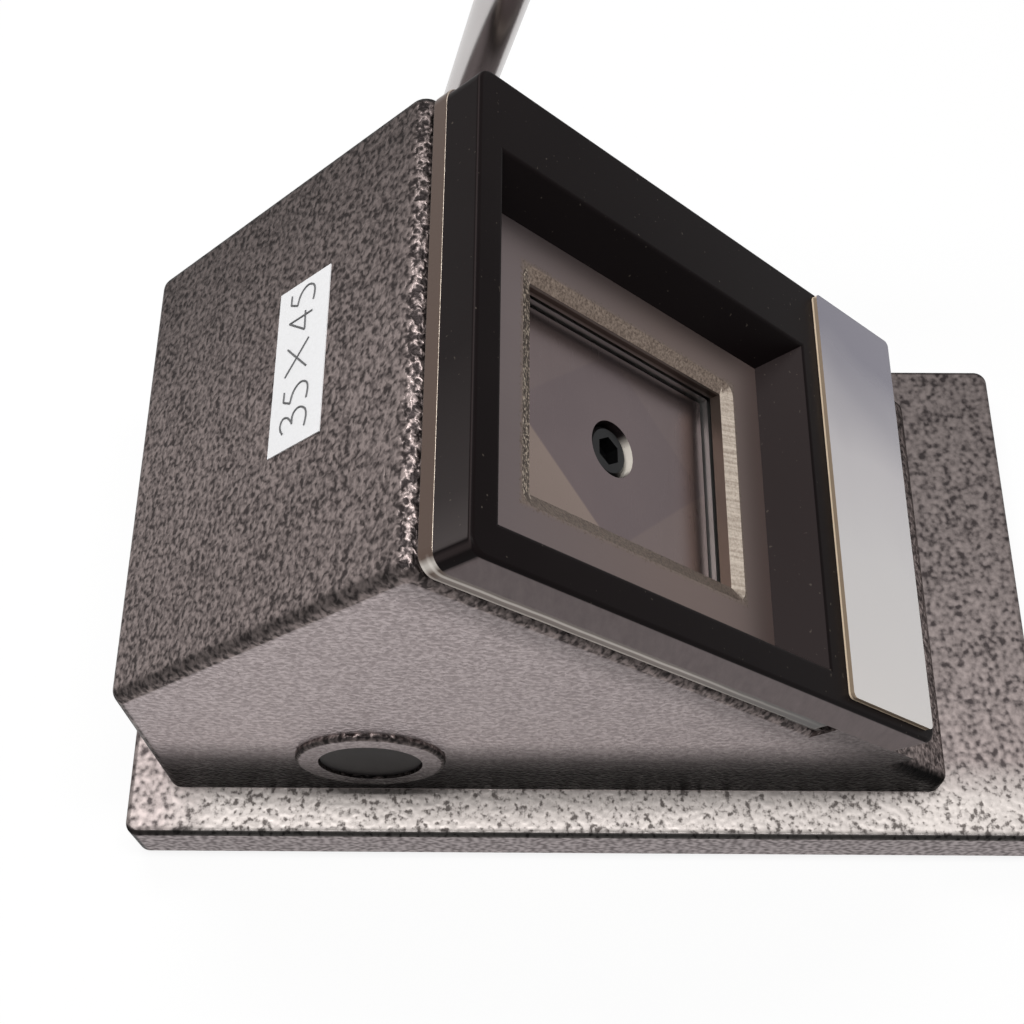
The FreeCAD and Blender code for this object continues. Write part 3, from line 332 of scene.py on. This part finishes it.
def black_frame():
    """Satin black; its near and far sides, its ramp and the lower end of its rear side are painted
    greyer as painted light.
    """
    g = Graph("black_frame")
    place = g.place()
    near, far = reach("bezel", ACROSS)
    up_slope = g.facing(UP_SLOPE)
    grain = g.noise(3800, 2.0, 0.6, 0.0, place)
    cloud = g.noise(45, 3.0, 0.55, 0.3, place)
    dust = g.rises(g.noise(1700, 0.0, 0.5, 0.0, place), 0.81, 0.86)
    side_streaks = g.noise(900, 3.0, 0.6, 0.0, g.stretched(place, (1.0, 1.0, 0.25)))

    ramp_side = g.ramp(up_slope, ((0.70, 0.0), (0.80, 1.0), (0.88, 1.0), (0.95, 0.0)))
    side = g.rises(g.math("ABSOLUTE", g.facing(ACROSS)), 0.93, 0.99)
    rear_side = g.product(g.rises(up_slope, 0.96, 0.99),
                          g.ramp(g.along(ACROSS, near, far),
                                 ((0.0, 0.75), (0.12, 0.32), (0.40, 0.09), (1.0, 0.04))))
    colour = g.mix(cloud, *FRAME_BLACK)
    # Painted light: the ramp face, the streaky near and far sides and the lower rear side are
    # painted greyer than the black.
    colour = g.mix(ramp_side, colour, LIT_RAMP_GREY)
    colour = g.mix(side, colour, g.mix(side_streaks, *LIT_SIDE_GREY))
    colour = g.mix(rear_side, colour, LIT_REAR_GREY)
    colour = g.mix(g.product(dust, 0.25), colour, DUST)
    return g.surface(Base_Color=colour, Roughness=g.total(g.product(cloud, 0.12), 0.34),
                     Specular_IOR_Level=0.03, Normal=g.bump(grain, 0.00002, 0.3))


def tool_steel():
    """Ground plate: satin faces, edges with painted bands of highlight and shade, and a filed
    bevel round the opening painted brightest in front as a painted highlight.
    """
    g = Graph("tool_steel")
    place = g.place()
    front, rear = reach("die_plate", UP_SLOPE)
    low, high = reach("die_plate", OUTWARD)
    outward, up_slope = g.facing(OUTWARD), g.facing(UP_SLOPE)
    flat = g.rises(outward, 0.955, 0.985)
    bevel = g.math("SUBTRACT", g.rises(outward, 0.5, 0.6), flat, True)
    cloud = g.noise(38, 3.0, 0.5, 0.4, place)
    grind = g.noise(60, 3.0, 0.6, 0.0, g.stretched(place, (40, 1.5, 1.5)))
    beads = g.noise(2500, 2.0, 0.6, 0.2, place)
    files = g.noise(1, 2.0, 0.6, 0.0, g.stretched(place, (1500, 60, 60)))

    # The face is brown in front and greyer at the rear, with a painted sheen at the opening's
    # foot: a brown patch made less metallic there.
    face = g.mix(g.rises(g.along(UP_SLOPE, front, rear), 0.45, 0.85),
                 g.mix(cloud, *FACE_BROWN), g.mix(cloud, *FACE_GREY))
    face = g.mix(g.product(grind, 0.08), face, GRIND_LIGHT)
    foot = reach("bezel", UP_SLOPE)[0] + OPENING_FOOT
    by_foot = g.product(g.falls(g.along(UP_SLOPE, foot, foot + FOOT_SHEEN_LENGTH), 0.0, 1.0), flat)
    face = g.mix(by_foot, face, FOOT_SHEEN_BROWN)

    # The near edge gets brown bands with painted highlights and shade; the rear edge and the
    # opening's front wall are plain brown, the front wall painted lighter as painted light.
    wander = g.about_middle(g.noise(120, 2.0, 0.5, 0.0, place), 0.16)
    highlight_bands = g.ramp(g.total(g.along(OUTWARD, low, high), wander), EDGE_HIGHLIGHT_BANDS)
    fade = g.ramp(g.along(UP_SLOPE, front, front + EDGE_FADE), ((0.0, 0.05), (1.0, 1.0)))
    outer = g.rises(g.along(UP_SLOPE, rear - REAR_EDGE_START, rear - REAR_EDGE_FULL), 0.0, 1.0)
    edge = g.mix(g.rises(up_slope, 0.75, 0.97), g.shaded(highlight_bands, fade),
                 g.mix(outer, LIT_INNER_WALL, REAR_EDGE))
    # Painted highlight on the plate's rounded corners.
    lit_corner = g.math("MINIMUM", up_slope, g.math("ABSOLUTE", g.facing(ACROSS)))
    edge = g.mix(g.product(g.rises(lit_corner, 0.40, 0.66), 0.5), edge, CORNER_HIGHLIGHT)
    colour = g.mix(flat, edge, face)

    # The bevel is bare metal, painted brightest in front as a painted highlight, burred at the
    # rear and beaded at the sides.
    filed = g.total(g.product(files, 0.6), g.product(beads, 0.4))
    bright = g.mix(g.rises(filed, 0.38, 0.60), *FRONT_BEVEL_HIGHLIGHT)
    burrs = g.mix(g.rises(g.noise(2100, 1.0, 0.5, 0.0, place), 0.48, 0.66), *BURRS)
    rim = g.mix(g.rises(beads, 0.30, 0.72), *BEADED)
    rim = g.mix(g.rises(up_slope, 0.22, 0.34), rim, bright)
    rim = g.mix(g.rises(g.product(up_slope, -1.0), 0.22, 0.34), rim, burrs)

    # Wear spreads from the bevel onto the face round it.
    sides = []
    for direction in (ACROSS, UP_SLOPE):
        start, end = reach("punch", direction)
        middle = (start + end) / 2
        off = g.math("ABSOLUTE", g.along(direction, middle, middle + WEAR_UNIT))
        sides.append(g.math("SUBTRACT", off, (end - start) / 2 / WEAR_UNIT + WEAR_START))
    past = g.total(g.math("MAXIMUM", *sides), g.math("SUBTRACT", beads, 0.5))
    worn = g.product(g.ramp(past, ((0.25, 0.85), (0.60, 0.0))), flat)
    colour = g.mix(g.math("MAXIMUM", bevel, worn), colour, rim)

    normal = g.add("ShaderNodeMix", data_type="VECTOR")
    g.give(normal.inputs["Factor"], bevel)
    g.give(normal.inputs["A"], g.bump(grind, 0.00001, 0.2))
    g.give(normal.inputs["B"], g.bump(beads, 0.00009, 0.8))
    return g.surface(Base_Color=colour, Roughness=g.total(g.product(cloud, 0.08), 0.30),
                     Normal=normal.outputs["Result"],
                     Metallic=g.math("SUBTRACT", 0.9, g.product(by_foot, 0.6)))


def punch_steel():
    """Ground face with a painted reflection: a darker, bluish diamond between lighter brown
    corners.
    """
    g = Graph("punch_steel")
    place = g.place()
    left, right = reach("punch", ACROSS)
    front, rear = reach("punch", UP_SLOPE)
    across = g.along(ACROSS, (left + right) / 2, right)
    rise = g.along(UP_SLOPE, (front + rear) / 2, rear)
    cloud = g.noise(60, 3.0, 0.5, 0.2, place)
    grind = g.noise(80, 3.0, 0.6, 0.0, g.stretched(place, (1.5, 40, 40)))

    # Painted reflection: a darker diamond with lighter corners, strongest at the near-rear corner.
    diamond = g.total(g.math("ABSOLUTE", across), g.math("ABSOLUTE", rise))
    near_rear = g.product(g.falls(across, 0.0, 0.001), g.ramp(rise, ((0.0, 0.25), (0.001, 0.9))))
    lit_corner = g.product(g.rises(diamond, 0.965, 0.995), g.math("MAXIMUM", near_rear, 0.12))
    colour = g.mix(lit_corner, g.mix(cloud, *DIAMOND_REFLECTION), g.mix(cloud, *CORNER_REFLECTIONS))

    # Painted highlight: the wall of the screw's bore is pale where it faces up the slope.
    squares = [g.product(g.product(share, share), (span / BORE_DIAMETER) ** 2)
               for share, span in ((across, right - left), (rise, rear - front))]
    off_axis = g.math("SQRT", g.total(*squares))
    bore = g.product(g.falls(off_axis, 0.97, 1.0), g.rises(g.facing(UP_SLOPE), 0.60, 0.90))
    colour = g.mix(bore, colour, BORE_HIGHLIGHT)
    return g.surface(Base_Color=colour, Roughness=g.total(g.product(grind, 0.1), 0.24),
                     Normal=g.bump(grind, 0.000006, 0.2),
                     Metallic=g.math("SUBTRACT", 0.95, g.product(bore, 0.85)))


def machined(name, dark, light, rough=0.32, metallic=0.95):
    """Turned or ground metal with fine cuts, cloudy between two colours."""
    g = Graph(name)
    place = g.place()
    cuts = g.noise(2400, 2.0, 0.6, 0.0, g.stretched(place, (1.0, 0.12, 0.12)))
    cloud = g.noise(90, 3.0, 0.5, 0.2, place)
    return g.surface(Base_Color=g.mix(cloud, dark, light), Metallic=metallic,
                     Roughness=g.clouded(cloud, rough), Normal=g.bump(cuts, 0.000012, 0.3))


def chrome():
    """Bright plating, a little smeared."""
    g = Graph("chrome_plate")
    smears = g.noise(70, 3.0, 0.6, 0.5)
    colour = g.mix(smears, (0.48, 0.455, 0.45), (0.60, 0.575, 0.57))
    return g.surface(Base_Color=colour, Metallic=1.0,
                     Roughness=g.total(g.product(smears, 0.10), 0.17))


def plate_face():
    """Bare brushed plate, painted darker to a cool grey at its far end as painted shade, with a
    warm edge.
    """
    g = Graph("plate_face")
    place = g.place()
    wander = g.product(g.noise(26, 2.0, 0.5, 0.6, place), 0.22)
    # Painted shade: lighter on the near side, darker and cooler at the far end.
    colour = g.ramp(g.total(g.along(ACROSS, GRADE_NEAR, GRADE_FAR), wander), NAMEPLATE_SHADING)
    colour = g.mix(g.falls(g.facing(OUTWARD), 0.3, 0.8), colour, NAMEPLATE_EDGE)
    brushed = g.noise(60, 3.0, 0.6, 0.0, g.stretched(place, (1.0, 30, 30)))
    return g.surface(Base_Color=colour, Metallic=0.55, Roughness=0.25, Coat_Weight=0.4,
                     Coat_Roughness=0.08, Normal=g.bump(brushed, 0.000004, 0.15))


def adhesive():
    g = Graph("pale_adhesive")
    colour = g.mix(g.noise(300, 3.0, 0.6, 0.3), (0.60, 0.46, 0.32), (0.78, 0.64, 0.48))
    return g.surface(Base_Color=colour, Roughness=0.55)


def paper():
    g = Graph("white_label")
    fibres = g.noise(1600, 3.0, 0.6, 0.4)
    colour = g.mix(fibres, (0.74, 0.74, 0.745), (0.84, 0.84, 0.855))
    return g.surface(Base_Color=colour, Roughness=0.62, Normal=g.bump(fibres, 0.00001, 0.2))


def ink():
    g = Graph("label_ink")
    strokes = g.noise(2500, 2.0, 0.5, 0.0)
    return g.surface(Base_Color=g.mix(strokes, (0.05, 0.05, 0.053), (0.13, 0.13, 0.135)),
                     Roughness=0.6)


def plastic(name, dark, light, rough, grain=0.00001, shine=0.5):
    g = Graph(name)
    fine = g.noise(2600, 2.0, 0.6, 0.0)
    cloud = g.noise(80, 3.0, 0.5, 0.2)
    return g.surface(Base_Color=g.mix(cloud, dark, light),
                     Roughness=g.clouded(cloud, rough), Specular_IOR_Level=shine,
                     Normal=g.bump(fine, grain, 0.3))


def rubber():
    g = Graph("rubber_black")
    grain = g.noise(1500, 3.0, 0.6, 0.2)
    return g.surface(Base_Color=g.mix(grain, (0.014, 0.014, 0.014), (0.035, 0.034, 0.033)),
                     Roughness=0.8, Normal=g.bump(grain, 0.00008, 0.5))


def clothe(material, *names):
    """Gives nodes of the frame one material each."""
    for name in names:
        slots = NODES[name].data.materials
        slots.clear()
        slots.append(material)


def stroke_piece(name, strokes, origin, right, up, height, width, material):
    """Pen strokes laid on a face: points in shares of the height, right and up from origin."""
    data = bpy.data.curves.new(name, "CURVE")
    data.dimensions = "3D"
    data.bevel_depth = width / 2
    data.bevel_resolution = 2
    for stroke in strokes:
        spline = data.splines.new("NURBS" if len(stroke) > 2 else "POLY")
        spline.points.add(len(stroke) - 1)
        for point, (across, rise) in zip(spline.points, stroke):
            place = origin + right * (across * height) + up * (rise * height)
            point.co = (*place, 1.0)
        if len(stroke) > 2:
            spline.order_u = 3
            spline.use_endpoint_u = True
    piece = bpy.data.objects.new(name, data)
    bpy.context.scene.collection.objects.link(piece)
    data.materials.append(material)
    return piece


# Plain size numerals as pen strokes, each in a box one unit high.
THREE = [[(0.08, 0.94), (0.28, 1.12), (0.60, 1.00), (0.52, 0.70), (0.26, 0.55)],
         [(0.26, 0.55), (0.56, 0.60), (0.72, 0.24), (0.40, -0.14), (0.00, 0.00)]]
FOUR = [[(0.48, 1.02), (0.49, 0.00)], [(0.48, 1.02), (0.00, 0.30)], [(0.00, 0.30), (0.62, 0.32)]]
FIVE = [[(0.24, 1.01), (0.54, 1.00)], [(0.24, 1.01), (0.09, 0.70)],
        [(0.09, 0.70), (0.40, 0.66), (0.66, 0.26), (0.40, -0.12), (0.00, 0.00)]]
CROSS = [[(0.90, 0.07), (0.00, 1.04)], [(0.88, 1.00), (0.00, 0.10)]]
NUMERAL_HEIGHT = 0.0055
NUMERAL_BASE = -0.00246
NUMERAL_PEN = 0.00034
NUMERALS = ((THREE, -0.0121), (FIVE, -0.0074), (CROSS, -0.0017), (FOUR, 0.0052), (FIVE, 0.0099))


def size_numerals():
    """The card's size on the label, as pieces that ride on the frame's body."""
    low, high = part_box("size_label")
    middle = (low + high) / 2
    slope = math.atan2(high.z - low.z, high.y - low.y)
    down = Vector((0, math.cos(slope), -math.sin(slope)))
    outward = ACROSS.cross(down)
    material = ink()
    for index, (strokes, across) in enumerate(NUMERALS):
        origin = middle + ACROSS * across + down * NUMERAL_BASE + outward * NUMERAL_PEN / 3
        piece = stroke_piece(f"numeral_{index + 1}", strokes, origin, ACROSS, down,
                             NUMERAL_HEIGHT, NUMERAL_PEN, material)
        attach(piece, "frame")


def backdrop():
    """Pale floor that takes the part's shadow and is nearly white to the camera."""
    corners = [(across * FLOOR_HALF, along * FLOOR_HALF, 0)
               for across, along in ((-1, -1), (1, -1), (1, 1), (-1, 1))]
    mesh = bpy.data.meshes.new("floor")
    mesh.from_pydata(corners, [], [(0, 1, 2, 3)])
    floor = bpy.data.objects.new("floor", mesh)
    bpy.context.scene.collection.objects.link(floor)
    g = Graph("pale_floor")
    paths = g.add("ShaderNodeLightPath")
    seen = g.math("MAXIMUM", paths.outputs["Is Camera Ray"], paths.outputs["Is Transmission Ray"])
    seen = g.math("MAXIMUM", seen, paths.outputs["Is Glossy Ray"])
    plain = g.add("ShaderNodeBsdfDiffuse", {"Color": FLOOR_COLOUR})
    bright = g.add("ShaderNodeEmission", {"Color": WHITE, "Strength": 1.0})
    mixed = g.add("ShaderNodeMixShader", {"Fac": g.product(seen, FLOOR_WHITENESS)})
    g.tree.links.new(plain.outputs[0], mixed.inputs[1])
    g.tree.links.new(bright.outputs[0], mixed.inputs[2])
    g.tree.links.new(mixed.outputs[0], g.output.inputs["Surface"])
    mesh.materials.append(g.material)


def sky():
    """Soft light from all sides that shows as plain white behind the part."""
    world = bpy.data.worlds.new("studio")
    bpy.context.scene.world = world
    world.use_nodes = True
    tree = world.node_tree
    tree.nodes.clear()
    output = tree.nodes.new("ShaderNodeOutputWorld")
    paths = tree.nodes.new("ShaderNodeLightPath")
    soft = tree.nodes.new("ShaderNodeBackground")
    soft.inputs["Color"].default_value = SKY_LIGHT
    soft.inputs["Strength"].default_value = SKY_STRENGTH
    white = tree.nodes.new("ShaderNodeBackground")
    white.inputs["Color"].default_value = SKY_SEEN
    seen = tree.nodes.new("ShaderNodeMath")
    seen.operation = "MAXIMUM"
    seen_all = tree.nodes.new("ShaderNodeMath")
    seen_all.operation = "MAXIMUM"
    tree.links.new(paths.outputs["Is Camera Ray"], seen.inputs[0])
    tree.links.new(paths.outputs["Is Glossy Ray"], seen.inputs[1])
    tree.links.new(seen.outputs[0], seen_all.inputs[0])
    tree.links.new(paths.outputs["Is Transmission Ray"], seen_all.inputs[1])
    mixed = tree.nodes.new("ShaderNodeMixShader")
    tree.links.new(seen_all.outputs[0], mixed.inputs[0])
    tree.links.new(soft.outputs[0], mixed.inputs[1])
    tree.links.new(white.outputs[0], mixed.inputs[2])
    tree.links.new(mixed.outputs[0], output.inputs["Surface"])


def lamp(name, place, aim, size, power):
    """A rectangular area light at a place, turned towards its aim."""
    data = bpy.data.lights.new(name, "AREA")
    data.shape = "RECTANGLE"
    data.size, data.size_y = size
    data.energy = power
    piece = bpy.data.objects.new(name, data)
    bpy.context.scene.collection.objects.link(piece)
    piece.location = place
    piece.rotation_mode = "QUATERNION"
    piece.rotation_quaternion = (Vector(aim) - Vector(place)).to_track_quat("-Z", "Y")


def camera():
    """The photograph's camera, as solved from its straight edges."""
    data = bpy.data.cameras.new("camera")
    data.sensor_width = SENSOR_MM
    data.lens = LENS_MM
    data.clip_start = CLIP_START
    piece = bpy.data.objects.new("camera", data)
    bpy.context.scene.collection.objects.link(piece)
    turn = Matrix((CAMERA_RIGHT, CAMERA_UP, -CAMERA_AHEAD)).transposed()
    piece.matrix_world = Matrix.Translation(CAMERA_PLACE) @ turn.to_4x4()
    bpy.context.scene.camera = piece


camera()
backdrop()
sky()
for settings in LAMPS:
    lamp(*settings)

clothe(hammertone(), "base_plate", "housing")
clothe(black_frame(), "bezel")
clothe(tool_steel(), "die_plate")
clothe(punch_steel(), "punch")
clothe(machined("machined_steel", (0.36, 0.35, 0.34), (0.52, 0.51, 0.50)),
       "guide_plate", "guide_posts", "bezel_dowels", "punch_holder",
       "punch_dowels", "rack", "pinion", "cross_shaft")
clothe(machined("blued_strip", (0.030, 0.024, 0.022), (0.060, 0.048, 0.044), 0.45),
       "slot_shim")
clothe(machined("spring_steel", (0.30, 0.30, 0.31), (0.44, 0.44, 0.45)),
       "front_return_spring", "rear_return_spring", "pinion_pin", "retaining_ring")
clothe(machined("zinc", (0.46, 0.46, 0.44), (0.62, 0.62, 0.60), 0.28),
       "base_screws")
clothe(machined("black_oxide", (0.008, 0.008, 0.0085), (0.022, 0.022, 0.023), 0.36, 0.85),
       "guide_plate_screws", "die_plate_screws", "bezel_screws", "punch_screw",
       "rack_screws", "hub_set_screw")
clothe(machined("bronze", (0.50, 0.34, 0.16), (0.66, 0.48, 0.26), 0.3),
       "guide_bushes", "left_bush", "right_bush", "thrust_washer")
clothe(chrome(), "lever_rod", "lever_hub")
clothe(plate_face(), "nameplate")
clothe(adhesive(), "nameplate_adhesive")
clothe(paper(), "size_label")
clothe(plastic("dark_plug", (0.008, 0.007, 0.007), (0.016, 0.014, 0.014), 0.35, shine=0.03),
       "shaft_cap")
clothe(plastic("black_knob", (0.010, 0.010, 0.010), (0.018, 0.018, 0.018), 0.15, 0.000002, 0.2),
       "lever_knob")
clothe(rubber(), "rubber_pad")
size_numerals()

bpy.context.scene.view_settings.view_transform = "Standard"
